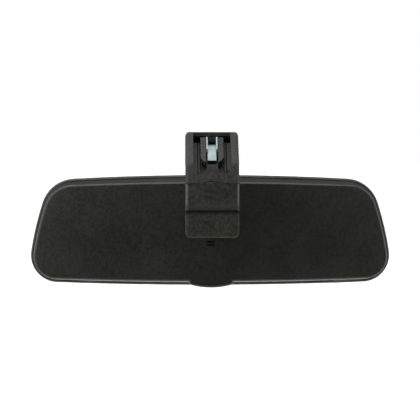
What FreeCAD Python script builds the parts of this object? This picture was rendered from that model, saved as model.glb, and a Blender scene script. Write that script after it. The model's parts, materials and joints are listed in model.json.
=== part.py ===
"""Interior rearview mirror with a day/night lever, hung from a windscreen on a ball joint.

Every shape is modelled about the centre of the ball (x to the side, y towards the driver, z up) and
is moved at export, so that the finished part has its origin at the middle of the windscreen face.
The windscreen side faces -Y and the glass faces +Y. Lengths are millimetres, angles degrees.
"""
import FreeCAD, Part

import math
import os

V = FreeCAD.Vector

# ---------------------------------------------------------------- driving dimensions
# Head outline: four large arcs joined by tangent corner arcs, mirrored about x = 0.
HEAD_Z = -8.0            # middle of the head's height, below the ball
TOP_Z, TOP_R = 38.6, 1800.0
BOTTOM_Z, BOTTOM_R = -38.0, 2685.0
SIDE_X, SIDE_Z, SIDE_R = -87.9, -47.2, 215.2
TOP_CORNER_R, BOTTOM_CORNER_R = 23.6, 18.9

# Head depths
BACK_Y = -11.0           # outermost point of the domed back
PARTING_Y = 10.0         # where the shell ends and the bezel begins
FRONT_Y = 23.0           # front of the bezel
GLASS_Y = 21.5           # front of the glass
PARTING_INSET, BACK_INSET = 2.0, 4.6
SHELL_WALL = 2.0
BACK_EDGE_R = 2.0
SEAM = 0.4               # open parting lines
DOME_X, DOME_Z = 7.5, 2.0    # how far the back falls away at the ends and at top and bottom
HOOD_HALF, HOOD_DROP, HOOD_R = 15.5, 0.1, 52.0   # swelling of the shell round the lever
HOOD_CORNER_R = 3.0
OPENING_R = 11.4         # hole in the shell round the ball joint
LATCH_HALF, LATCH_Z = 2.8, (-14.5, -16.6)    # two slits below that hole
GLASS_TOP_T, GLASS_BOTTOM_T = 5.0, 2.0       # prism: thicker at the top
GLASS_TOP_Z, GLASS_BOTTOM_Z = HEAD_Z + TOP_Z, HEAD_Z + BOTTOM_Z

# Ball joint
BALL_R = 8.5
NECK_R = 3.5
FIT = 0.05               # running clearance
SEAT_OUT_R = 10.5
HOUSING_R = 12.6
LIP_ANGLE = 46.0         # half angle of the socket's mouth
FRONT_SEAT = (62.0, 80.0)    # the front seat's edges, as angles from the stud
REAR_SEAT_Y = (1.9, 10.2)
CLAMP_PITCH_R, CLAMP_Y, CLAMP_T = 15.2, 11.0, 1.5

# Day/night hinge and lever
HINGE_Y, HINGE_Z = 4.5, 20.0
HINGE_PIN_R = 1.5
LEVER_Y, LEVER_Z = 6.0, -38.0
LEVER_PIN_R = 1.25
CRANK_THROW, CRANK_LEAN = 4.26, 30.0
CRANK_PIN_R = 1.3
CRANK_Y = LEVER_Y - CRANK_THROW * math.sin(math.radians(CRANK_LEAN))
CRANK_Z = LEVER_Z + CRANK_THROW * math.cos(math.radians(CRANK_LEAN))
TAB_TOP_Z, TAB_T = -45.5, 1.5        # finger tab

# Arm, drawn from the side as (y, z)
ARM_HALF = 17.7
REAR_BOTTOM = (-22.0, -9.5)
FRONT_BOTTOM = (-52.0, -9.5)
CREASE = (-53.2, 8.5)
SEAM_EDGE = (-52.4, 26.0)
KNEE = (-48.5, 39.5)
FACE_TOP = (-28.0, 60.0)
REAR_TOP = (-22.5, 54.0)
KNEE_R = 12.0
ARM_WALL = 2.0
ARM_SIDE_R, ARM_BOTTOM_R = 2.4, 3.4
CREASE_GAP = 0.35        # open joint between the cover and the front cap
COVER_LIP_R, CAP_LIP_R = 1.5, 0.4
CAP_SETBACK = 1.0        # how far the cap's front lies behind the cover's
CAP_BACK_Y = -44.0       # where the front cap's side returns end
RIM_WALL = 5.3           # rims of the windscreen face
POCKET_DEPTH = 8.3
POCKET_LOW, POCKET_HIGH = 10.4, 46.0   # along the face, up from the seam's height
BAR_HALF, BAR_TOP = 3.7, 18.2          # wall between the side pockets, below the shoe
RIB_X, STEP_X = (8.2, 9.0), 9.9    # thin rib and shallow step down each side of the pocket
RIB_HIGH = 43.0          # where both end, along the face
SHOE_LOW, SHOE_HIGH = 21.0, 43.8
SHOE_HALF, NECK_HALF, SLOT_HALF = 7.6, 6.7, 4.05
SEAM_Z = SEAM_EDGE[1]
LEG_Y = (-36.0, -28.0)   # front and rear faces of the leg that holds the stud
SHANK_R = 3.0            # the stud's threaded end
NUT_Y = -37.6
COVER_SCREW_X, COVER_SCREW_Z = 7.5, 18.0
COVER_HEAD_Y = -25.4     # underside of the cover screws' heads

# The windscreen face runs from the knee to the top. Its middle is the finished part's origin.
# Its own axes start where its plane, carried on down, reaches the seam's height.
FACE_MID = V(0, (KNEE[0] + FACE_TOP[0]) / 2, (KNEE[1] + FACE_TOP[1]) / 2)
ALONG = V(0, FACE_TOP[0] - KNEE[0], FACE_TOP[1] - KNEE[1]).normalize()
FACE_FOOT = V(0, FACE_TOP[0] - (FACE_TOP[1] - SEAM_EDGE[1]) * ALONG.y / ALONG.z, SEAM_EDGE[1])
FACE_LENGTH = (FACE_TOP[1] - SEAM_EDGE[1]) / ALONG.z
INWARD = V(0, ALONG.z, -ALONG.y)     # into the arm, square to the face


# ---------------------------------------------------------------- small helpers
def block(x0, x1, y0, y1, z0, z1):
    return Part.makeBox(x1 - x0, y1 - y0, z1 - z0, V(x0, y0, z0))


def rod_x(r, x0, x1, y, z):
    return Part.makeCylinder(r, x1 - x0, V(x0, y, z), V(1, 0, 0))


def rod_y(r, y0, y1, x=0.0, z=0.0):
    return Part.makeCylinder(r, y1 - y0, V(x, y0, z), V(0, 1, 0))


def side_prism(points, x0, x1):
    """A solid with the (y, z) outline points, from x0 to x1."""
    corners = [V(x0, y, z) for y, z in points]
    return Part.Face(Part.makePolygon(corners + corners[:1])).extrude(V(x1 - x0, 0, 0))


def face_point(x, s, d):
    """A point on the windscreen face's own axes: x, distance up the face, and depth."""
    return FACE_FOOT + V(x, 0, 0) + ALONG * s + INWARD * d


def face_prism(points, x0, x1):
    """A solid with the (s, d) outline points, from x0 to x1."""
    corners = [face_point(x0, s, d) for s, d in points]
    return Part.Face(Part.makePolygon(corners + corners[:1])).extrude(V(x1 - x0, 0, 0))


def face_block(x0, x1, s0, s1, d0, d1):
    return face_prism([(s0, d0), (s1, d0), (s1, d1), (s0, d1)], x0, x1)


def edges_where(shape, test):
    return [e for e in shape.Edges if test(e)]


def between(e, lo, hi):
    box = e.BoundBox
    return (box.XMin >= lo[0] and box.YMin >= lo[1] and box.ZMin >= lo[2]
            and box.XMax <= hi[0] and box.YMax <= hi[1] and box.ZMax <= hi[2])


def turned(profile):
    """A solid of revolution about the stud's axis, from a closed wire in the x-y plane."""
    return Part.Face(profile).revolve(V(0, 0, 0), V(0, 1, 0), 360)


def polar(r, angle):
    """A point in the x-y plane at that angle from the stud's own direction, -Y."""
    a = math.radians(angle)
    return V(r * math.sin(a), -r * math.cos(a), 0)


def arc_edge(r, a0, a1):
    return Part.Arc(polar(r, a0), polar(r, (a0 + a1) / 2), polar(r, a1)).toShape()


def line(p, q):
    return Part.LineSegment(p, q).toShape()


# ---------------------------------------------------------------- the head's outline
def corner_centre(c1, r1, c2, r2, upper):
    """Where a circle inside two large circles, both tangent to it, has its centre."""
    (x1, z1), (x2, z2) = c1, c2
    d = math.dist(c1, c2)
    a = (r1 * r1 - r2 * r2 + d * d) / (2 * d)
    h = math.sqrt(r1 * r1 - a * a)
    ux, uz = (x2 - x1) / d, (z2 - z1) / d
    found = [(x1 + a * ux - k * h * uz, z1 + a * uz + k * h * ux) for k in (1, -1)]
    return max(found, key=lambda p: p[0] + (p[1] if upper else -p[1]))


def outline(inset, y):
    """The head's outline as a closed wire at depth y, moved in by inset."""
    top_c = (0.0, TOP_Z - TOP_R)
    bottom_c = (0.0, BOTTOM_Z + BOTTOM_R)
    side_c = (SIDE_X, SIDE_Z)
    tc = corner_centre(top_c, TOP_R - TOP_CORNER_R, side_c, SIDE_R - TOP_CORNER_R, True)
    bc = corner_centre(bottom_c, BOTTOM_R - BOTTOM_CORNER_R,
                       side_c, SIDE_R - BOTTOM_CORNER_R, False)

    def unit(frm, to):
        d = math.dist(frm, to)
        return ((to[0] - frm[0]) / d, (to[1] - frm[1]) / d)

    def halfway(u, v):
        return unit((0, 0), (u[0] + v[0], u[1] + v[1]))

    def at(c, u, r, side):
        return V(side * (c[0] + u[0] * (r - inset)), y, HEAD_Z + c[1] + u[1] * (r - inset))

    def corners(side):
        """Tangent points and mid points down one side, from the top arc to the bottom arc."""
        u_top, u_side1 = unit(top_c, tc), unit(side_c, tc)
        u_side2, u_bottom = unit(side_c, bc), unit(bottom_c, bc)
        return [at(tc, u_top, TOP_CORNER_R, side),
                at(tc, halfway(u_top, u_side1), TOP_CORNER_R, side),
                at(tc, u_side1, TOP_CORNER_R, side),
                at(side_c, halfway(u_side1, u_side2), SIDE_R, side),
                at(bc, u_side2, BOTTOM_CORNER_R, side),
                at(bc, halfway(u_side2, u_bottom), BOTTOM_CORNER_R, side),
                at(bc, u_bottom, BOTTOM_CORNER_R, side)]

    right, left = corners(1), corners(-1)
    top = V(0, y, HEAD_Z + TOP_Z - inset)
    bottom = V(0, y, HEAD_Z + BOTTOM_Z + inset)
    arcs = [(left[0], top, right[0])]
    arcs += [tuple(right[i:i + 3]) for i in (0, 2, 4)]
    arcs += [(right[6], bottom, left[6])]
    arcs += [tuple(reversed(left[i:i + 3])) for i in (4, 2, 0)]
    return Part.Wire([Part.Arc(*a).toShape() for a in arcs])


def tapered(inset0, y0, inset1, y1):
    """The head's outline as a solid between two depths, with its sides drawn in."""
    return Part.makeLoft([outline(inset0, y0), outline(inset1, y1)], True, True)


def straight(inset, y0, y1):
    return Part.Face(outline(inset, y0)).extrude(V(0, y1 - y0, 0))


def behind_dome(offset):
    """Everything in front of the domed back, moved in by offset, as a thick solid."""
    half_x, half_z, depth = 140.0, 52.0, 60.0
    ref_x, ref_z = 120.0, 36.0
    rows = []
    for i in range(21):
        x = -half_x + i * half_x / 10
        row = []
        for k in range(9):
            z = -half_z + k * half_z / 4
            fall = DOME_X * (0.35 * (x / ref_x) ** 2 + 0.65 * (x / ref_x) ** 4)
            fall += DOME_Z * (z / ref_z) ** 2
            row.append(V(x, BACK_Y + offset + fall, HEAD_Z + z))
        rows.append(row)
    surface = Part.BSplineSurface()
    surface.interpolate(rows)
    return surface.toShape().extrude(V(0, depth, 0))


# ---------------------------------------------------------------- head
def hood():
    """The swelling at the bottom of the shell that the lever hangs in."""
    low, back = HEAD_Z + BOTTOM_Z, BACK_Y - 5
    end = low - HOOD_DROP + HOOD_R - math.sqrt(HOOD_R ** 2 - HOOD_HALF ** 2)
    left, right = V(-HOOD_HALF, back, end), V(HOOD_HALF, back, end)
    up_left, up_right = V(-HOOD_HALF, back, low + 8), V(HOOD_HALF, back, low + 8)
    arc = Part.Arc(left, V(0, back, low - HOOD_DROP), right).toShape()
    wire = Part.Wire([line(up_left, left), arc, line(right, up_right), line(up_right, up_left)])
    body = Part.Face(wire).extrude(V(0, PARTING_Y - back - SEAM, 0))
    corners = edges_where(body, lambda e: e.BoundBox.YLength > 20 and e.BoundBox.ZMax < low + 4)
    return body.makeFillet(HOOD_CORNER_R, corners)


def shell_outer():
    body = tapered(BACK_INSET, BACK_Y - 1, PARTING_INSET, PARTING_Y).fuse(hood()).removeSplitter()
    body = body.common(behind_dome(0.0))
    return body.makeFillet(BACK_EDGE_R, edges_where(body, lambda e: e.BoundBox.YMax < PARTING_Y - 3))


def rear_shell():
    body = shell_outer()
    inner = tapered(BACK_INSET + SHELL_WALL, BACK_Y - 1, PARTING_INSET + SHELL_WALL, PARTING_Y + 0.1)
    inner = inner.common(behind_dome(SHELL_WALL))
    well = block(-14, 14, BACK_Y + 3.6, PARTING_Y + 0.1, HEAD_Z + BOTTOM_Z + 3.4, HEAD_Z + BOTTOM_Z + 12)
    body = body.cut(inner).cut(well)
    tongue = straight(PARTING_INSET + 0.45, PARTING_Y - 4, PARTING_Y + 4)
    tongue = tongue.cut(straight(PARTING_INSET + SHELL_WALL, PARTING_Y - 5, PARTING_Y + 5))
    body = body.fuse(tongue)
    inside = behind_dome(SHELL_WALL - 0.5)
    ribs = [hinge_lug(x, x + 4.0) for x in (25.0, -29.0)]
    ribs += [stiffener(x) for x in (-70.0, 70.0)]
    body = body.fuse([rib.common(inside) for rib in ribs])
    for x in (10.2, -13.2):
        body = body.fuse(lever_lug(x, x + 3.0))
    body = body.cut(rod_y(OPENING_R, BACK_Y - 5, BACK_Y + 6))
    for z in LATCH_Z:
        body = body.cut(block(-LATCH_HALF, LATCH_HALF, BACK_Y - 5, BACK_Y + 3.2, z - 0.45, z + 0.45))
    body = body.cut(rod_x(HINGE_PIN_R + 0.02, -35, 35, HINGE_Y, HINGE_Z))
    body = body.cut(rod_x(LEVER_PIN_R + 0.02, -13.3, 13.3, LEVER_Y, LEVER_Z))
    body = body.cut(block(-4.4, 4.4, -4.6, PARTING_Y + 5, -52, LEVER_Z - 3.6))
    return body.removeSplitter()


def hinge_lug(x0, x1):
    root = BACK_Y + 1.0
    shape = block(x0, x1, root, HINGE_Y, HINGE_Z - 4, HINGE_Z + 4)
    return shape.fuse(rod_x(4.0, x0, x1, HINGE_Y, HINGE_Z))


def lever_lug(x0, x1):
    foot = HEAD_Z + BOTTOM_Z + 3.0
    shape = block(x0, x1, LEVER_Y - 3, LEVER_Y + 3, foot, LEVER_Z)
    return shape.fuse(rod_x(3.0, x0, x1, LEVER_Y, LEVER_Z))


def stiffener(x):
    """An upright rib inside the back."""
    return block(x - 0.8, x + 0.8, BACK_Y - 1, -1, HEAD_Z - 30, HEAD_Z + 29)


def bezel():
    body = straight(0.0, PARTING_Y + SEAM, FRONT_Y)
    front = edges_where(body, lambda e: e.BoundBox.YMin > FRONT_Y - 0.1)
    back = edges_where(body, lambda e: e.BoundBox.YMax < PARTING_Y + SEAM + 0.1)
    body = body.makeFillet(3.2, front)
    back = edges_where(body, lambda e: e.BoundBox.YMax < PARTING_Y + SEAM + 0.1)
    body = body.makeFillet(1.9, back)
    body = body.cut(straight(2.2, PARTING_Y - 1, GLASS_Y))
    body = body.cut(tapered(4.2, GLASS_Y - 0.5, 3.6, FRONT_Y + 0.5))
    notch = block(-11, 11, PARTING_Y - 1, FRONT_Y + 1, -60, HEAD_Z + BOTTOM_Z + 0.9)
    return body.cut(notch).removeSplitter()


def wedge(y_front, depth):
    """A solid from the glass's front plane back to the prism's sloping plane, plus depth."""
    return side_prism([(y_front, GLASS_TOP_Z), (GLASS_Y - GLASS_TOP_T - depth, GLASS_TOP_Z),
                       (GLASS_Y - GLASS_BOTTOM_T - depth, GLASS_BOTTOM_Z),
                       (y_front, GLASS_BOTTOM_Z)], -130, 130)


def mirror_glass():
    return straight(2.5, PARTING_Y, GLASS_Y).common(wedge(GLASS_Y, 0.0))


def behind_glass(inset, near, far):
    """A sheet behind the glass, from near to far behind the prism's back plane."""
    sheet = straight(inset, PARTING_Y, GLASS_Y)
    return sheet.common(wedge(GLASS_Y, far)).cut(wedge(GLASS_Y + 1, near))


def mirror_silver():
    return behind_glass(2.9, 0.0, 0.2)


def backing_pad():
    return behind_glass(7.0, 0.2, 1.0)


def hinge_pin():
    pin = rod_x(HINGE_PIN_R, -30.6, 30.6, HINGE_Y, HINGE_Z)
    return pin.fuse(rod_x(2.8, -31.8, -29.2, HINGE_Y, HINGE_Z)).removeSplitter()


def hinge_clip():
    ring = rod_x(3.2, 29.2, 29.9, HINGE_Y, HINGE_Z)
    return ring.cut(rod_x(HINGE_PIN_R + 0.01, 29.0, 30.0, HINGE_Y, HINGE_Z))


def lever_pin():
    return rod_x(LEVER_PIN_R, -13.2, 13.2, LEVER_Y, LEVER_Z)


def detent_spring():
    """Leaf that presses on the lever's hub: a strip along the shell with a bowed middle."""
    half, t = 2.6, 0.4
    hub_back, foot = LEVER_Y - 3.5, BACK_Y + SHELL_WALL + 1.0
    strip = [(hub_back - t, LEVER_Z), (hub_back, LEVER_Z), (hub_back, LEVER_Z + 2.0),
             (hub_back - 4.2, LEVER_Z + 12), (foot, LEVER_Z + 12), (foot, LEVER_Z + 18),
             (foot - t, LEVER_Z + 18), (foot - t, LEVER_Z + 11.6), (hub_back - 4.5, LEVER_Z + 11.6),
             (hub_back - t, LEVER_Z + 1.9)]
    return side_prism(strip, -half, half)


# ---------------------------------------------------------------- ball joint
def ball_stud():
    """Ball, neck, shoulder and threaded shank in one piece."""
    ball = Part.makeSphere(BALL_R, V(0, 0, 0))
    neck = rod_y(NECK_R, -26, -4)
    shoulder = rod_y(6.5, LEG_Y[1], -22.6)
    shoulder = shoulder.makeChamfer(0.5, edges_where(shoulder, lambda e: e.BoundBox.YMin > -22.7))
    shank = rod_y(SHANK_R, -45, -27)
    shank = shank.makeChamfer(0.6, edges_where(shank, lambda e: e.BoundBox.YMax < -44.9))
    return ball.fuse([neck, shoulder, shank]).removeSplitter()


def hexagon(across, y0, y1):
    r = across / math.sqrt(3)
    corners = [V(r * math.cos(math.radians(60 * k)), y0, r * math.sin(math.radians(60 * k)))
               for k in range(7)]
    return Part.Face(Part.makePolygon(corners)).extrude(V(0, y1 - y0, 0))


def stud_nut():
    nut = hexagon(10.0, NUT_Y - 5.0, NUT_Y)
    facing = Part.makeCone(4.9, 6.4, 1.5, V(0, NUT_Y - 5.0, 0), V(0, 1, 0))
    nut = nut.common(facing.fuse(rod_y(6.4, NUT_Y - 3.5, NUT_Y)))
    return nut.cut(rod_y(SHANK_R + 0.02, -46, -30)).removeSplitter()


def stud_washer():
    return rod_y(6.2, NUT_Y, LEG_Y[0]).cut(rod_y(SHANK_R + 0.1, -40, -30))


def front_seat():
    """Ring between the ball and the socket's lip, round the stud's side of the ball."""
    a0, a1 = FRONT_SEAT
    r0, r1 = BALL_R + FIT, SEAT_OUT_R
    profile = Part.Wire([arc_edge(r0, a0, a1), line(polar(r0, a1), polar(r1, a1)),
                         arc_edge(r1, a1, a0), line(polar(r1, a0), polar(r0, a0))])
    return turned(profile)


def rear_seat():
    """Cup behind the ball."""
    cup = rod_y(SEAT_OUT_R, *REAR_SEAT_Y)
    return cup.cut(Part.makeSphere(BALL_R + FIT, V(0, 0, 0)))


def wave_washer():
    return rod_y(9.8, REAR_SEAT_Y[1] + 0.02, CLAMP_Y - 0.02).cut(rod_y(5.6, 0, 20))


def clamp_holes(r, y0, y1):
    angles = [math.radians(a) for a in (90, 210, 330)]
    return [rod_y(r, y0, y1, CLAMP_PITCH_R * math.cos(a), CLAMP_PITCH_R * math.sin(a))
            for a in angles]


def socket_clamp():
    plate = rod_y(12.4, CLAMP_Y, CLAMP_Y + CLAMP_T)
    plate = plate.fuse(clamp_holes(3.3, CLAMP_Y, CLAMP_Y + CLAMP_T)).removeSplitter()
    plate = plate.cut(rod_y(5.0, 0, 20))
    for hole in clamp_holes(1.35, 0, 20):
        plate = plate.cut(hole)
    return plate


def clamp_screws():
    heads = clamp_holes(2.4, CLAMP_Y + CLAMP_T, CLAMP_Y + CLAMP_T + 1.2)
    shanks = clamp_holes(1.2, CLAMP_Y - 6.5, CLAMP_Y + CLAMP_T + 0.1)
    slots = []
    for head in heads:
        c = head.BoundBox.Center
        slots.append(block(c.x - 1.6, c.x + 1.6, 13.2, 15, c.z - 0.3, c.z + 0.3))
        slots.append(block(c.x - 0.3, c.x + 0.3, 13.2, 15, c.z - 1.6, c.z + 1.6))
    screws = []
    for head, shank in zip(heads, shanks):
        screw = head.fuse(shank).removeSplitter()
        for slot in slots:
            screw = screw.cut(slot)
        screws.append(screw)
    return Part.makeCompound(screws)


def socket_housing():
    r0, r1 = SEAT_OUT_R + FIT, HOUSING_R
    profile = Part.Wire([
        arc_edge(r0, LIP_ANGLE, 90), line(V(r0, 0, 0), V(r0, CLAMP_Y, 0)),
        line(V(r0, CLAMP_Y, 0), V(r1, CLAMP_Y, 0)), line(V(r1, CLAMP_Y, 0), V(r1, 0, 0)),
        arc_edge(r1, 90, LIP_ANGLE), line(polar(r1, LIP_ANGLE), polar(r0, LIP_ANGLE))])
    return turned(profile)


def toggle_carrier():
    """Frame that holds the socket, hinged to the shell at the top, forked at the bottom."""
    y0, y1 = 3.0, 6.0
    top, waist, foot = 24.0, 18.5, 8.4
    corners = [V(-top, y0, HINGE_Z), V(top, y0, HINGE_Z), V(waist, y0, -4), V(foot, y0, -30),
               V(foot, y0, -35.9), V(-foot, y0, -35.9), V(-foot, y0, -30), V(-waist, y0, -4)]
    plate = Part.Face(Part.makePolygon(corners + corners[:1])).extrude(V(0, y1 - y0, 0))
    body = plate.fuse(socket_housing())
    body = body.fuse(clamp_holes(3.3, y0, CLAMP_Y))
    body = body.fuse(rod_x(3.2, -24, 24, HINGE_Y, HINGE_Z))
    for x in (-foot, foot - 1.6):
        body = body.fuse(side_prism([(y0, -14), (-1.5, -16), (-1.5, -30), (y0, -33)], x, x + 1.6))
    for side in (1, -1):
        x0, x1 = sorted((side * 4.2, side * foot))
        body = body.fuse(block(x0, x1, 0.6, 7.0, -35.9, -29))
    body = body.cut(rod_y(SEAT_OUT_R + FIT, 0, 20))
    body = body.cut(Part.makeSphere(SEAT_OUT_R + FIT, V(0, 0, 0)))
    body = body.cut(rod_x(HINGE_PIN_R + FIT, -30, 30, HINGE_Y, HINGE_Z))
    for hole in clamp_holes(1.2, CLAMP_Y - 6.5, 20):
        body = body.cut(hole)
    body = body.cut(block(-4.2, 4.2, 0, 10, -40, -24))
    reach = CRANK_PIN_R + 0.3
    slot = block(-10, 10, CRANK_Y - reach, CRANK_Y + reach, -40, LEVER_Z + CRANK_THROW + reach + 0.3)
    return body.cut(slot).removeSplitter()


# ---------------------------------------------------------------- lever
def day_night_lever():
    half = 3.4
    hub = rod_x(3.0, -half, half, LEVER_Y, LEVER_Z)
    crank = side_prism([(CRANK_Y - 1.3, CRANK_Z), (CRANK_Y + 1.3, CRANK_Z + 0.4),
                        (LEVER_Y + 2.2, LEVER_Z + 0.5), (LEVER_Y - 2.4, LEVER_Z - 0.5)], -half, half)
    crank = crank.fuse(rod_x(CRANK_PIN_R, -8.2, 8.2, CRANK_Y, CRANK_Z))
    stem = block(-half, half, LEVER_Y - 1.5, LEVER_Y + 1.5, TAB_TOP_Z - TAB_T, LEVER_Z)
    neck = block(-half, half, LEVER_Y - 1.5, LEVER_Y + 8, TAB_TOP_Z - TAB_T, TAB_TOP_Z)
    tab = block(-10, 10, LEVER_Y + 7.0, 27.0, TAB_TOP_Z - TAB_T, TAB_TOP_Z)
    grip = rod_x(1.25, -10, 10, 26.8, TAB_TOP_Z - 0.4)
    tab = tab.fuse(grip).removeSplitter()
    tab = tab.makeFillet(3.0, edges_where(
        tab, lambda e: abs(e.BoundBox.YMax - e.BoundBox.YMin) < 0.01
        and between(e, (-11, LEVER_Y + 6, -50), (11, LEVER_Y + 8, -40))
        and e.BoundBox.ZMax - e.BoundBox.ZMin > 1))
    body = hub.fuse([crank, stem, neck, tab]).removeSplitter()
    return body.cut(rod_x(LEVER_PIN_R + FIT, -20, 20, LEVER_Y, LEVER_Z))


# ---------------------------------------------------------------- arm
def arm_envelope():
    """The arm's outer form, before it is split into the foot, the cover and the cap."""
    body = side_prism([REAR_BOTTOM, FRONT_BOTTOM, CREASE, SEAM_EDGE, KNEE, FACE_TOP, REAR_TOP],
                      -ARM_HALF, ARM_HALF)
    knee = edges_where(body, lambda e: e.BoundBox.XLength > 30 and abs(e.BoundBox.ZMin - KNEE[1]) < 0.01)
    body = body.makeFillet(KNEE_R, knee)

    def on_side(e):
        box = e.BoundBox
        return box.XLength < 0.01 and abs(abs(box.XMin) - ARM_HALF) < 0.01

    sides = edges_where(body, lambda e: on_side(e)
                        and (e.BoundBox.YMax < KNEE[0] + 5 or e.BoundBox.ZMax > REAR_TOP[1] + 1))
    body = body.makeFillet(ARM_SIDE_R, sides)
    floor = edges_where(body, lambda e: e.BoundBox.ZMax < FRONT_BOTTOM[1] + 0.1
                        and e.BoundBox.YMax < REAR_BOTTOM[0] - 0.1)
    return body.makeFillet(ARM_BOTTOM_R, floor)


def rear_y(z):
    """Where the arm's rear face is at that height."""
    (y0, z0), (y1, z1) = REAR_BOTTOM, REAR_TOP
    return y0 + (y1 - y0) * (z - z0) / (z1 - z0)


def arm_core(grow):
    """The arm's inside, grow larger than the usual wall leaves."""
    w = ARM_WALL - grow
    (ry, rz), (fy, fz), (cy, cz), (sy, sz) = REAR_BOTTOM, FRONT_BOTTOM, CREASE, SEAM_EDGE
    top = sz + 0.3
    points = [(ry - w, rz + w), (fy + w, fz + w), (cy + w, cz), (sy + w, top), (rear_y(top) - w, top)]
    return side_prism(points, -ARM_HALF + w, ARM_HALF - w)


def thumb_arch(grow):
    """A low arch at the middle of the cover's upper edge."""
    half, rise = 9.0 + grow, 1.3 + grow
    z = SEAM_Z - SEAM / 2
    arc = Part.Arc(V(-half, -70, z), V(0, -70, z + rise), V(half, -70, z)).toShape()
    face = Part.Face(Part.Wire([arc, line(V(half, -70, z), V(-half, -70, z))]))
    return face.extrude(V(0, 70 + SEAM_EDGE[0] + ARM_WALL, 0))


def arm_cover():
    z_top = SEAM_Z - SEAM / 2
    outer = arm_envelope().common(block(-30, 30, -80, 0, -20, z_top))
    outer = outer.fuse(arm_envelope().common(thumb_arch(0.0))).removeSplitter()
    body = outer.cut(arm_core(0.0))
    body = body.cut(block(-30, 30, -80, CAP_BACK_Y, -20, CREASE[1]))
    lip = edges_where(body, lambda e: abs(e.BoundBox.ZMax - CREASE[1]) < 0.01
                      and abs(e.BoundBox.ZMin - CREASE[1]) < 0.01 and e.BoundBox.YMax < CREASE[0] + 1.0
                      and e.BoundBox.XMax - e.BoundBox.XMin > 20)
    body = body.makeFillet(COVER_LIP_R, lip)
    ledge = arm_core(0.0).common(block(-30, 30, CAP_BACK_Y - 3, CAP_BACK_Y + 1.5, -20, CREASE[1] - 2.6))
    body = body.fuse(ledge.cut(arm_core(-1.2)))
    for x in (-COVER_SCREW_X, COVER_SCREW_X):
        boss = rod_y(3.4, LEG_Y[1], REAR_BOTTOM[0], x, COVER_SCREW_Z)
        body = body.fuse(boss.common(arm_envelope()))
        body = body.cut(rod_y(1.6, -30, -15, x, COVER_SCREW_Z))
        body = body.cut(rod_y(2.9, COVER_HEAD_Y, -15, x, COVER_SCREW_Z))
    return body.cut(rod_y(6.8, -30, -15)).removeSplitter()


def stud_cap():
    top = CREASE[1] - CREASE_GAP
    outer = arm_envelope().translated(V(0, CAP_SETBACK, 0))
    outer = outer.common(block(-30, 30, -80, CAP_BACK_Y - SEAM, -20, top))
    lip = edges_where(outer, lambda e: e.BoundBox.ZMin > top - 0.01 and e.BoundBox.YMax < CREASE[0] + 2.0
                      and e.BoundBox.XLength > 20)
    outer = outer.makeFillet(CAP_LIP_R, lip)
    body = outer.cut(arm_core(0.0).cut(block(-30, 30, -80, 0, top - 1.6, 40)))
    front = FRONT_BOTTOM[0] + (CREASE[0] - FRONT_BOTTOM[0]) * 8.0 / 18.0 + CAP_SETBACK
    body = body.cut(rod_y(1.7, -60, front + 0.25, 0, -1.5))
    body = body.fuse(rod_y(0.7, front, front + 1, 0, -1.5))
    for x in (-12.0, 10.0):
        hook = block(x, x + 2, CAP_BACK_Y - 7, CAP_BACK_Y + 3, FRONT_BOTTOM[1] + ARM_WALL + 1.3,
                     FRONT_BOTTOM[1] + ARM_WALL + 2.5)
        post = block(x, x + 2, CAP_BACK_Y - 7, CAP_BACK_Y - 4, FRONT_BOTTOM[1] + 1, FRONT_BOTTOM[1] + 4.5)
        body = body.fuse([hook, post])
    return body.removeSplitter()


def mount_pocket():
    """What is cut out of the foot: a channel for the shoe, with pockets down both its sides."""
    top, d, half, low = POCKET_HIGH, POCKET_DEPTH, ARM_HALF - RIM_WALL, POCKET_LOW
    channel = face_block(-BAR_HALF - 0.05, BAR_HALF + 0.05, BAR_TOP, top, -1, d)
    sides = [face_prism([(low - 5, -9), (low, 0), (low + 4.5, d), (top, d), (top, -1)], *sorted(x))
             for x in ((BAR_HALF, half), (-half, -BAR_HALF))]
    brow = block(-half, half, -60, FACE_TOP[0] - 0.35, FACE_TOP[1] - 4, FACE_TOP[1] - 0.35)
    return channel.fuse(sides + [brow])


def pocket_ribs():
    """A thin rib and a shallow step down each side of the pocket."""
    d, half = POCKET_DEPTH + 0.3, ARM_HALF - RIM_WALL + 0.2
    shapes = []
    for side in (1, -1):
        x0, x1 = sorted((side * RIB_X[0], side * RIB_X[1]))
        shapes.append(face_prism([(11.0, 0.5), (16.5, 5.0), (RIB_HIGH, 5.0), (RIB_HIGH, d),
                                  (11.0, d)], x0, x1))
        x0, x1 = sorted((side * STEP_X, side * half))
        shapes.append(face_prism([(7.5, 0), (13.4, 0), (17.5, 5.0), (RIB_HIGH, 5.0), (RIB_HIGH, d),
                                  (7.5, d)], x0, x1))
    return shapes


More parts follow.
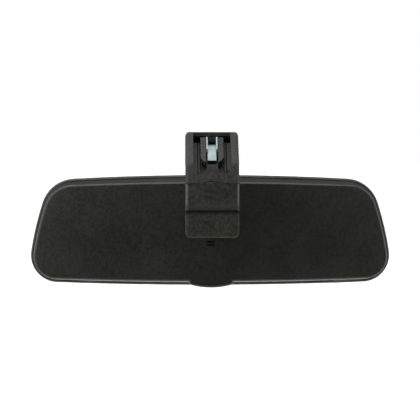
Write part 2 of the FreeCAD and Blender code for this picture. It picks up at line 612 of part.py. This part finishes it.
def mount_foot():
    """Structural moulding: windscreen face with its pocket, and the leg that holds the stud."""
    outer = arm_envelope().common(block(-30, 30, -80, 0, SEAM_Z + SEAM / 2, 80))
    inner = POCKET_DEPTH + 2.4
    hollow = face_prism([(0, inner), (39.4, inner), (39.4, 60), (0, 60)], -12.4, 12.4)
    hollow = hollow.common(block(-13, 13, -80, -25.6, SEAM_Z - 1, 60))
    body = outer.cut(hollow)
    leg = block(-10, 10, *LEG_Y, -7.2, 28)
    web = side_prism([(LEG_Y[0], 26.2), (LEG_Y[0], 38.0), (-25, 49), (-25, 26.2)], -2.6, 2.6)
    cheeks = [block(x, x + 2.4, -44, LEG_Y[1], SEAM_Z - 12, SEAM_Z + 3) for x in (-15.2, 12.8)]
    shelf = block(-15.2, 15.2, *LEG_Y, SEAM_Z - 4, SEAM_Z + 2)
    body = body.fuse([leg, web, shelf] + cheeks).removeSplitter()
    body = body.cut(mount_pocket())
    body = body.cut(arm_envelope().common(thumb_arch(SEAM)))
    body = body.cut(rod_y(SHANK_R + 0.05, -50, -20))
    for x in (-COVER_SCREW_X, COVER_SCREW_X):
        body = body.cut(rod_y(1.2, -36, -20, x, COVER_SCREW_Z))
    body = body.fuse([rib.common(outer) for rib in pocket_ribs()])
    for x in (5.5, -5.5):
        body = body.cut(shoe_hole(x, 1.0))
    return body.removeSplitter()


def shoe_hole(x, r, d0=3.0, d1=14.0):
    start = face_point(x, 27.0, d0)
    return Part.makeCylinder(r, d1 - d0, start, INWARD)


def shoe_outline(half, low, d0, d1):
    """Shield shape: straight sides that round in towards the lower end."""
    shoulder, tip = 26.4, half - 2.9
    mid = (half - 0.75, (shoulder + low) / 2 + 0.1)
    right = [face_point(half, SHOE_HIGH, d0), face_point(half, shoulder, d0),
             face_point(*mid, d0), face_point(tip, low, d0)]
    left = [face_point(-half, SHOE_HIGH, d0), face_point(-half, shoulder, d0),
            face_point(-mid[0], mid[1], d0), face_point(-tip, low, d0)]
    wire = Part.Wire([line(left[0], right[0]), line(right[0], right[1]),
                      Part.Arc(*right[1:]).toShape(), line(right[3], left[3]),
                      Part.Arc(left[3], left[2], left[1]).toShape(), line(left[1], left[0])])
    return Part.Face(wire).extrude(INWARD * (d1 - d0))


def mount_shoe():
    """Two jaws on a common web: a slide rail with an undercut down each side."""
    head = shoe_outline(SHOE_HALF, SHOE_LOW, 0.8, 4.2)
    neck = shoe_outline(NECK_HALF, SHOE_LOW + 0.9, 4.0, POCKET_DEPTH)
    body = head.fuse(neck).removeSplitter()
    body = body.cut(face_block(-SLOT_HALF, SLOT_HALF, SHOE_LOW - 2, 23.2, -1, 12))
    body = body.cut(face_block(-SLOT_HALF, SLOT_HALF, 28.0, SHOE_HIGH + 1, -1, 12))
    body = body.cut(face_block(-SLOT_HALF, SLOT_HALF, SHOE_LOW - 2, SHOE_HIGH + 1, -1, 6.0))
    for x in (5.5, -5.5):
        body = body.cut(shoe_hole(x, 0.9, 5.0, 14.0))
    return body


def shoe_screws():
    screws = []
    for x in (5.5, -5.5):
        shank = shoe_hole(x, 0.88, 5.2, 12.6)
        head = shoe_hole(x, 2.0, POCKET_DEPTH + 2.4, 13.1)
        cross = [face_block(x - 1.3, x + 1.3, 26.75, 27.25, 12.6, 14),
                 face_block(x - 0.25, x + 0.25, 25.7, 28.3, 12.6, 14)]
        screws.append(shank.fuse(head).removeSplitter().cut(cross[0]).cut(cross[1]))
    return Part.makeCompound(screws)


def retaining_spring():
    """Folded strip: foot on the pocket floor, blade between the jaws, guide flanges with barbs."""
    t, half, flange = 0.7, 2.9, 0.85
    low, high, fold = 24.6, 45.0, 45.3
    blade, floor = 3.6, POCKET_DEPTH
    strip = [(low, blade + 1.4), (low + 0.4, blade), (fold, blade), (fold, floor), (35, floor),
             (35, floor - t), (fold - t, floor - t), (fold - t, blade + t), (low + 1.0, blade + t),
             (low + 0.6, blade + 1.6)]
    body = face_prism(strip, -half, half)
    for side in (1, -1):
        x0, x1 = sorted((side * (half - 0.1), side * (half + flange)))
        body = body.fuse(face_prism([(31.6, blade + t), (31.6, 2.8), (33.4, 1.4), (high, 1.4),
                                     (high, blade + t)], x0, x1))
        x0, x1 = sorted((side * half, side * (half + flange + 0.2)))
        body = body.fuse(face_prism([(32.2, blade + t), (32.2, 2.6), (33.4, 2.2), (34.0, blade + t)],
                                    x0, x1))
    return body.removeSplitter()


def spring_keeper():
    """Dark tongue that hooks under the top wall and covers the spring's fold."""
    top = POCKET_HIGH - 0.1
    return face_prism([(40.5, 1.6), (40.2, 2.2), (40.2, 3.3), (top, 3.3), (top, 1.9), (41.2, 1.2)],
                      -2.55, 2.55)


def cover_screws():
    screws = []
    y, z = COVER_HEAD_Y, COVER_SCREW_Z
    for x in (-COVER_SCREW_X, COVER_SCREW_X):
        shank = rod_y(1.18, -35, y + 0.2, x, z)
        head = rod_y(2.7, y, y + 1.5, x, z)
        cross = [block(x - 1.7, x + 1.7, y + 0.8, y + 2, z - 0.3, z + 0.3),
                 block(x - 0.3, x + 0.3, y + 0.8, y + 2, z - 1.7, z + 1.7)]
        screws.append(shank.fuse(head).removeSplitter().cut(cross[0]).cut(cross[1]))
    return Part.makeCompound(screws)


# ---------------------------------------------------------------- export
NODES = {
    "mount_foot": mount_foot,
    "arm_cover": arm_cover,
    "stud_cap": stud_cap,
    "mount_shoe": mount_shoe,
    "shoe_screws": shoe_screws,
    "retaining_spring": retaining_spring,
    "spring_keeper": spring_keeper,
    "cover_screws": cover_screws,
    "ball_stud": ball_stud,
    "stud_nut": stud_nut,
    "stud_washer": stud_washer,
    "front_seat": front_seat,
    "rear_seat": rear_seat,
    "wave_washer": wave_washer,
    "socket_clamp": socket_clamp,
    "clamp_screws": clamp_screws,
    "toggle_carrier": toggle_carrier,
    "rear_shell": rear_shell,
    "bezel": bezel,
    "mirror_glass": mirror_glass,
    "mirror_silver": mirror_silver,
    "backing_pad": backing_pad,
    "hinge_pin": hinge_pin,
    "hinge_clip": hinge_clip,
    "lever_pin": lever_pin,
    "detent_spring": detent_spring,
    "day_night_lever": day_night_lever,
}


def main():
    os.makedirs("parts", exist_ok=True)
    for name, make in NODES.items():
        shape = make()
        shape.translate(FACE_MID * -1)
        solids = len(shape.Solids)
        print(f"{name}: valid {shape.isValid()}, solids {solids}, volume {shape.Volume:.1f}")
        shape.exportStep(f"parts/{name}.step")
    print(f"ball centre from the origin: {tuple(round(-c, 3) for c in FACE_MID)}")


main()
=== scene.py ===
import json
import math

import bmesh
import bpy
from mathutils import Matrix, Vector


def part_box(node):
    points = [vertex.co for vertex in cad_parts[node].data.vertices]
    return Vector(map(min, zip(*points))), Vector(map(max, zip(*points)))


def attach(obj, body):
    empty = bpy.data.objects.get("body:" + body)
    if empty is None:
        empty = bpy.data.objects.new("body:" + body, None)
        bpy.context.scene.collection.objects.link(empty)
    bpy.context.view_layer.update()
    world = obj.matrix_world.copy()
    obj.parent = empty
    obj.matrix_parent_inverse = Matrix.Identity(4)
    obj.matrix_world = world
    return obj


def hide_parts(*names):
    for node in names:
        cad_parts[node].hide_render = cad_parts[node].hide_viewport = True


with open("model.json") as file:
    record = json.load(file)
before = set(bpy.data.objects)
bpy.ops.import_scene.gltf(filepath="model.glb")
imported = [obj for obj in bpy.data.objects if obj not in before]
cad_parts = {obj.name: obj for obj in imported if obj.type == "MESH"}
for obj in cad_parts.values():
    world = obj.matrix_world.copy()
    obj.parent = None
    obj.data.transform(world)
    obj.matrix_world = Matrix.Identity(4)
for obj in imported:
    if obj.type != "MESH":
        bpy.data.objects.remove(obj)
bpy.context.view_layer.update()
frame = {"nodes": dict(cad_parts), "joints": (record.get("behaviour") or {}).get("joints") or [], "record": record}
nodes = frame["nodes"]

# The ball's centre, in metres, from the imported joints.
BALL = Vector(next(j["pos_m"] for j in frame["joints"] if j["name"] == "ball_yaw"))


# ---------------------------------------------------------------- materials
MOTTLE_PER_METRE, FLECK_PER_METRE = 38, 520      # patches of 25 mm, and spots of 2 mm


class Signal:
    """A number that varies over a surface; arithmetic on it adds Math nodes."""

    def __init__(self, finish, socket):
        self.finish = finish
        self.socket = socket

    def math(self, operation, a, b):
        return self.finish.node("ShaderNodeMath", {"operation": operation}, {0: a, 1: b})

    def __add__(self, other):
        return self.math("ADD", self, other)

    def __radd__(self, other):
        return self.math("ADD", other, self)

    def __sub__(self, other):
        return self.math("SUBTRACT", self, other)

    def __rsub__(self, other):
        return self.math("SUBTRACT", other, self)

    def __mul__(self, other):
        return self.math("MULTIPLY", self, other)

    def __rmul__(self, other):
        return self.math("MULTIPLY", other, self)


class Finish:
    """One material, built on a Principled shader."""

    def __init__(self, name):
        self.material = bpy.data.materials.new(name)
        self.material.use_nodes = True
        self.tree = self.material.node_tree
        self.shader = self.tree.nodes["Principled BSDF"]

    def node(self, kind, settings=None, inputs=None, output=0):
        """Adds a node: settings first, then values or links of its sockets."""
        made = self.tree.nodes.new(kind)
        for key, value in (settings or {}).items():
            if key == "stops":
                self.set_stops(made.color_ramp, value)
            else:
                setattr(made, key, value)
        for key, value in (inputs or {}).items():
            self.feed(made.inputs[key], value)
        return Signal(self, made.outputs[output])

    def set_stops(self, ramp, stops):
        while len(ramp.elements) < len(stops):
            ramp.elements.new(0.5)
        for element, (position, colour) in zip(ramp.elements, stops):
            element.position = position
            element.color = colour if len(colour) == 4 else (*colour, 1)

    def feed(self, socket, value):
        if isinstance(value, Signal):
            self.tree.links.new(value.socket, socket)
        else:
            socket.default_value = value

    def place(self, stretch=(1, 1, 1)):
        """The piece's own coordinates, in metres, stretched per axis."""
        where = self.node("ShaderNodeTexCoord", output="Object")
        return self.node("ShaderNodeMapping", {}, {"Vector": where, "Scale": stretch})

    def height(self):
        """How high above the frame's origin, in metres."""
        where = self.node("ShaderNodeTexCoord", output="Object")
        return self.node("ShaderNodeSeparateXYZ", {}, {"Vector": where}, output=2)

    def noise(self, per_metre, detail=2.0, stretch=(1, 1, 1), rough=0.5):
        return self.node("ShaderNodeTexNoise", {}, {
            "Vector": self.place(stretch), "Scale": per_metre, "Detail": detail, "Roughness": rough})

    def cells(self, per_metre, stretch=(1, 1, 1)):
        return self.node("ShaderNodeTexVoronoi", {}, {
            "Vector": self.place(stretch), "Scale": per_metre})

    def ramp(self, value, stops):
        return self.node("ShaderNodeValToRGB", {"stops": stops}, {"Fac": value})

    def band(self, value, low, high, out_low=0.0, out_high=1.0):
        """Value's share between low and high, mapped smoothly to out_low and out_high."""
        return self.node("ShaderNodeMapRange", {"interpolation_type": "SMOOTHSTEP"}, {
            "Value": value, "From Min": low, "From Max": high, "To Min": out_low, "To Max": out_high})

    def blend(self, share, one, two):
        return self.node("ShaderNodeMix", {"data_type": "RGBA"}, {
            "Factor": share, 6: one if isinstance(one, Signal) else (*one, 1),
            7: two if isinstance(two, Signal) else (*two, 1)}, output=2)

    def bump(self, height, depth, strength=1.0):
        return self.node("ShaderNodeBump", {}, {
            "Height": height, "Distance": depth, "Strength": strength})

    def set(self, **sockets):
        for key, value in sockets.items():
            self.feed(self.shader.inputs[key.replace("_", " ")], value)
        return self.material


def moulded_plastic(name, dark, light, grain_per_metre=1500, grain_depth=0.00008,
                    gloss=0.5, spec=0.35, fold_shade=None):
    """Black thermoplastic out of a spark-eroded tool: leathery grain, flecks and slight mottling.

    fold_shade is (height, half width): a soft dark band of painted shade along a fold, where the fold's own shadow
    falls."""
    f = Finish(name)
    cloud = f.noise(MOTTLE_PER_METRE, 4)
    fleck = f.noise(FLECK_PER_METRE, 2, rough=0.6)
    speck = f.noise(grain_per_metre, 2, rough=0.7)
    shade = cloud * 0.25 + fleck * 0.45 + speck * 0.3
    colour = f.ramp(shade, [(0.40, dark), (0.60, light)])
    rough = f.band(cloud * 0.4 + fleck * 0.6, 0.35, 0.65, gloss - 0.04, gloss + 0.06)
    # Painted shade: the colour darkens towards near black in a band about the fold's height.
    if fold_shade:
        fold, half_width = fold_shade
        away = f.height() - fold + (cloud - 0.5) * 0.002
        share = f.band(away * away, 0.0, half_width ** 2, 0.75, 0.0)
        colour = f.blend(share, colour, (0.004, 0.004, 0.003))
        rough = rough + share * 0.5
    pits = f.cells(grain_per_metre)
    fine = f.noise(grain_per_metre * 1.8, 2)
    relief = pits * 0.35 + fine * 0.25 + fleck * 0.4
    f.set(Base_Color=colour, Roughness=rough, Normal=f.bump(relief, grain_depth),
          Specular_IOR_Level=spec)
    return f.material


def plated_steel(name, dark, light, rough=0.3, along=(1, 1, 1), scratch_per_metre=900, metal=1.0):
    """Zinc-plated or drawn steel with fine draw lines."""
    f = Finish(name)
    lines = f.noise(scratch_per_metre, 3, stretch=along, rough=0.6)
    cloud = f.noise(120, 3)
    colour = f.ramp(cloud * 0.5 + lines * 0.5, [(0.35, dark), (0.65, light)])
    roughness = f.band(lines, 0.3, 0.7, rough - 0.06, rough + 0.1)
    f.set(Base_Color=colour, Roughness=roughness, Metallic=metal, Normal=f.bump(lines, 0.00001, 0.6))
    return f.material


def natural_acetal(name):
    f = Finish(name)
    cloud = f.noise(90, 3)
    f.set(Base_Color=f.ramp(cloud, [(0.35, (0.55, 0.53, 0.46)), (0.65, (0.66, 0.64, 0.57))]),
          Roughness=f.band(cloud, 0.3, 0.7, 0.3, 0.42), Normal=f.bump(f.noise(1400, 2), 0.00002))
    return f.material


def foam(name):
    f = Finish(name)
    pores = f.cells(1800)
    f.set(Base_Color=f.ramp(pores, [(0.1, (0.02, 0.02, 0.02)), (0.6, (0.07, 0.07, 0.07))]),
          Roughness=f.band(pores, 0.0, 0.8, 0.95, 0.8), Normal=f.bump(pores, 0.0002))
    return f.material


def clear_glass(name):
    f = Finish(name)
    haze = f.noise(60, 3)
    f.set(Base_Color=f.ramp(haze, [(0.3, (0.965, 0.98, 0.975)), (0.7, (0.975, 0.985, 0.98))]),
          Roughness=f.band(haze, 0.4, 0.9, 0.0, 0.003), Transmission_Weight=1.0, IOR=1.52)
    return f.material


def silvering(name):
    f = Finish(name)
    haze = f.noise(45, 3)
    f.set(Base_Color=f.ramp(haze, [(0.3, (0.87, 0.885, 0.89)), (0.7, (0.885, 0.90, 0.905))]),
          Roughness=f.band(haze, 0.3, 0.8, 0.008, 0.014), Metallic=1.0)
    return f.material


SHELL = (0.0108, 0.0108, 0.008), (0.0225, 0.0225, 0.0172)
ARM_COVER = (0.012, 0.012, 0.0088), (0.036, 0.036, 0.028)
STUD_CAP = (0.016, 0.016, 0.012), (0.047, 0.047, 0.037)
FOOT = (0.016, 0.0155, 0.014), (0.042, 0.041, 0.038)
SHOE = (0.014, 0.014, 0.014), (0.048, 0.048, 0.047)
# The spring keeper's near-black tone is partly its own dark plastic and partly painted shade, for the dark gap
# between the spring's posts.
KEEPER = (0.006, 0.008, 0.011), (0.014, 0.017, 0.022)
CARRIER = (0.01, 0.01, 0.01), (0.02, 0.02, 0.02)
ALONG_X, ALONG_Y, ALONG_Z = (0.05, 1, 1), (1, 0.05, 1), (1, 1, 0.05)     # draw lines run this way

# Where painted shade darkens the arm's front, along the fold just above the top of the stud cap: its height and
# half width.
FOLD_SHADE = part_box("stud_cap")[1].z + 0.0012, 0.0042

finishes = {
    "mount_foot": moulded_plastic("foot_grain", *FOOT, 1100, 0.0001, 0.55, 0.22),
    "arm_cover": moulded_plastic("cover_grain", *ARM_COVER, 900, 0.00014, 0.38, 0.62, FOLD_SHADE),
    "stud_cap": moulded_plastic("cap_grain", *STUD_CAP, 1000, 0.00012, 0.66, 0.16, FOLD_SHADE),
    "mount_shoe": moulded_plastic("shoe_grain", *SHOE, 900, 0.0003, 0.6, 0.22),
    "spring_keeper": moulded_plastic("keeper_dark_and_painted_shade", *KEEPER, 1800, 0.00003, 0.8, 0.04),
    "rear_shell": moulded_plastic("shell_grain", *SHELL, 1500, 0.00006, 0.4, 0.43),
    "bezel": moulded_plastic("bezel_satin", *SHELL, 1800, 0.00006, 0.42, 0.42),
    "toggle_carrier": moulded_plastic("carrier_satin", *CARRIER),
    "day_night_lever": moulded_plastic("lever_satin", *SHELL, 1800, 0.00005, 0.4, 0.42),
    "retaining_spring": plated_steel("spring_plating", (0.15, 0.185, 0.19), (0.24, 0.295, 0.30), 0.42),
    "shoe_screws": plated_steel("shoe_screw_plating", (0.5, 0.5, 0.48), (0.66, 0.66, 0.63), 0.35),
    "cover_screws": plated_steel("black_oxide", (0.02, 0.02, 0.02), (0.05, 0.05, 0.05), 0.45, metal=0.6),
    "ball_stud": plated_steel("phosphated_steel", (0.30, 0.30, 0.31), (0.46, 0.46, 0.47), 0.38, ALONG_Y),
    "stud_nut": plated_steel("nut_plating", (0.48, 0.48, 0.45), (0.62, 0.62, 0.58), 0.35),
    "stud_washer": plated_steel("washer_plating", (0.5, 0.5, 0.47), (0.64, 0.64, 0.6), 0.33),
    "wave_washer": plated_steel("wave_steel", (0.35, 0.35, 0.35), (0.5, 0.5, 0.5), 0.3),
    "socket_clamp": plated_steel("clamp_plating", (0.45, 0.45, 0.43), (0.6, 0.6, 0.57), 0.35,
                                 (0.1, 1, 1)),
    "clamp_screws": plated_steel("clamp_screw_plating", (0.5, 0.5, 0.47), (0.66, 0.66, 0.62), 0.3),
    "hinge_pin": plated_steel("hinge_wire", (0.48, 0.48, 0.47), (0.62, 0.62, 0.6), 0.28, ALONG_X),
    "hinge_clip": plated_steel("clip_steel", (0.36, 0.36, 0.36), (0.5, 0.5, 0.5), 0.3),
    "lever_pin": plated_steel("lever_wire", (0.48, 0.48, 0.47), (0.62, 0.62, 0.6), 0.28, ALONG_X),
    "detent_spring": plated_steel("detent_steel", (0.4, 0.41, 0.43), (0.54, 0.55, 0.58), 0.28, ALONG_Z),
    "front_seat": natural_acetal("seat_acetal"),
    "rear_seat": natural_acetal("seat_cup_acetal"),
    "backing_pad": foam("pad_foam"),
    "mirror_glass": clear_glass("prism_glass"),
    "mirror_silver": silvering("silver_coat"),
}
for node, material in finishes.items():
    data = nodes[node].data
    data.materials.clear()
    data.materials.append(material)


# ---------------------------------------------------------------- moulded and pressed edges
body_of = {node: body for body, members in frame["record"]["behaviour"]["bodies"].items()
           for node in members}


SHEETS = {"mirror_glass", "mirror_silver", "backing_pad"}      # all flat faces, so none is smoothed
SILVER_GAP = 0.00005     # keeps the silver's front off the back of the glass, whose plane it shares
MERGE_WITHIN = 0.00002
BEVEL_SEGMENTS = 3
FLAT_WITHIN, SHARP_OVER, SMOOTH_UNDER = (math.radians(a) for a in (0.3, 32, 38))


def softened(node, radius):
    """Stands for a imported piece: the same faces joined up, with a small radius on its sharp edges."""
    mesh = nodes[node].data.copy()
    shape = bmesh.new()
    shape.from_mesh(mesh)
    bmesh.ops.remove_doubles(shape, verts=shape.verts, dist=MERGE_WITHIN)
    bmesh.ops.dissolve_limit(shape, angle_limit=FLAT_WITHIN, verts=shape.verts,
                             edges=shape.edges, use_dissolve_boundaries=False)
    if node == "mirror_silver":
        front = {v for f in shape.faces if f.normal.y > 0.9 for v in f.verts}
        bmesh.ops.translate(shape, verts=list(front), vec=(0, -SILVER_GAP, 0))
    sharp = [e for e in shape.edges
             if len(e.link_faces) == 2 and e.calc_face_angle(0) > SHARP_OVER]
    bmesh.ops.bevel(shape, geom=sharp, offset=radius, offset_type="OFFSET", affect="EDGES",
                    segments=BEVEL_SEGMENTS, profile=0.5, material=-1, clamp_overlap=True,
                    miter_outer="ARC")
    bmesh.ops.recalc_face_normals(shape, faces=shape.faces)
    shape.to_mesh(mesh)
    shape.free()
    if "custom_normal" in mesh.attributes:
        mesh.attributes.remove(mesh.attributes["custom_normal"])
    piece = bpy.data.objects.new(node + "_finished", mesh)
    bpy.context.scene.collection.objects.link(piece)
    if node in SHEETS:
        mesh.shade_flat()
    else:
        mesh.shade_smooth()
        mesh.set_sharp_from_angle(angle=SMOOTH_UNDER)
        flats = piece.modifiers.new("flat_faces_stay_flat", "WEIGHTED_NORMAL")
        flats.weight = 80
        flats.keep_sharp = True
    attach(piece, body_of[node])
    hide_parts(node)


EDGE_RADIUS = {
    "mount_foot": 0.0003, "arm_cover": 0.00025, "stud_cap": 0.00025, "mount_shoe": 0.00045,
    "spring_keeper": 0.0003, "retaining_spring": 0.00018, "day_night_lever": 0.0004,
    "toggle_carrier": 0.0003, "rear_shell": 0.0002, "bezel": 0.0002, "cover_screws": 0.00012,
    "stud_nut": 0.0002, "stud_washer": 0.00015, "socket_clamp": 0.00015, "clamp_screws": 0.00012,
    "shoe_screws": 0.00012, "detent_spring": 0.0001, "hinge_pin": 0.00015, "lever_pin": 0.00015,
    "hinge_clip": 0.0001, "mirror_glass": 0.0004, "mirror_silver": 0.00004, "backing_pad": 0.0002,
}
for node, radius in EDGE_RADIUS.items():
    softened(node, radius)


# ---------------------------------------------------------------- room, light and camera
FLOOR_Z = BALL.z - 0.21
FLOOR_HALF, FLOOR_BEFORE_BALL = 12, 0.12     # the floor lies mostly on the driver's side
ROOM_LIGHT = 0.10                            # what the room adds, against 1.0 for its look

pale_floor = bpy.data.materials.new("pale_floor")
pale_floor.use_nodes = True
floor_shader = pale_floor.node_tree.nodes["Principled BSDF"]
floor_shader.inputs["Base Color"].default_value = (0.93, 0.93, 0.93, 1)
floor_shader.inputs["Roughness"].default_value = 0.9

shape = bmesh.new()
bmesh.ops.create_grid(shape, x_segments=1, y_segments=1, size=FLOOR_HALF)
bmesh.ops.translate(shape, verts=shape.verts, vec=(0, FLOOR_HALF - FLOOR_BEFORE_BALL, FLOOR_Z))
floor_mesh = bpy.data.meshes.new("floor")
shape.to_mesh(floor_mesh)
shape.free()
floor = bpy.data.objects.new("floor", floor_mesh)
floor.data.materials.append(pale_floor)
bpy.context.scene.collection.objects.link(floor)

world = bpy.data.worlds.new("studio")
world.use_nodes = True
bpy.context.scene.world = world
tree = world.node_tree
background = tree.nodes["Background"]
background.inputs["Color"].default_value = (1, 1, 1, 1)
background.inputs["Strength"].default_value = 1.0
dim = tree.nodes.new("ShaderNodeBackground")
dim.inputs["Color"].default_value = (1, 1, 1, 1)
dim.inputs["Strength"].default_value = ROOM_LIGHT
path = tree.nodes.new("ShaderNodeLightPath")
mix = tree.nodes.new("ShaderNodeMixShader")
tree.links.new(path.outputs["Is Camera Ray"], mix.inputs[0])
tree.links.new(dim.outputs[0], mix.inputs[1])
tree.links.new(background.outputs[0], mix.inputs[2])
tree.links.new(mix.outputs[0], tree.nodes["World Output"].inputs["Surface"])


def toward(azimuth, elevation):
    """The direction from the mirror to that side and height; 0 is the windscreen side."""
    a, e = math.radians(azimuth), math.radians(elevation)
    return Vector((math.sin(a) * math.cos(e), -math.cos(a) * math.cos(e), math.sin(e)))


def facing_back(direction):
    """The rotation of a lamp or camera that looks back along that direction."""
    return direction.to_track_quat("Z", "Y").to_euler()


def soft_sun(name, azimuth, elevation, strength, spread):
    """A very broad distant light, coming from that side and height."""
    lamp = bpy.data.lights.new(name, "SUN")
    lamp.energy = strength
    lamp.angle = math.radians(spread)
    obj = bpy.data.objects.new(name, lamp)
    obj.rotation_euler = facing_back(toward(azimuth, elevation))
    bpy.context.scene.collection.objects.link(obj)


def near_panel(name, where, size, watts):
    """A square light panel close by, facing the ball, so its light fades along the head."""
    lamp = bpy.data.lights.new(name, "AREA")
    lamp.energy = watts
    lamp.size = size
    obj = bpy.data.objects.new(name, lamp)
    obj.location = where
    obj.rotation_euler = facing_back(where - BALL)
    bpy.context.scene.collection.objects.link(obj)


soft_sun("overhead_softbox", -40, 76, 3.0, 70)
soft_sun("left_softbox", -92, 14, 2.1, 90)
soft_sun("right_softbox", 92, 14, 2.2, 90)
near_panel("left_panel", BALL + Vector((-0.62, -0.50, 0.30)), 0.35, 1.5)

CAMERA_AZIMUTH, CAMERA_ELEVATION, CAMERA_DISTANCE = -1.13, 2.35, 1.0
CAMERA_LENS = 124.6
CAMERA_AIM = BALL + Vector((-0.00058, 0, 0.0068))
camera_side = toward(CAMERA_AZIMUTH, CAMERA_ELEVATION)
camera_data = bpy.data.cameras.new("camera")
camera_data.lens = CAMERA_LENS
camera_data.sensor_width = 36
camera = bpy.data.objects.new("camera", camera_data)
camera.location = CAMERA_AIM + camera_side * CAMERA_DISTANCE
camera.rotation_euler = facing_back(camera_side)
bpy.context.scene.collection.objects.link(camera)
bpy.context.scene.camera = camera
bpy.context.scene.view_settings.view_transform = "Standard"
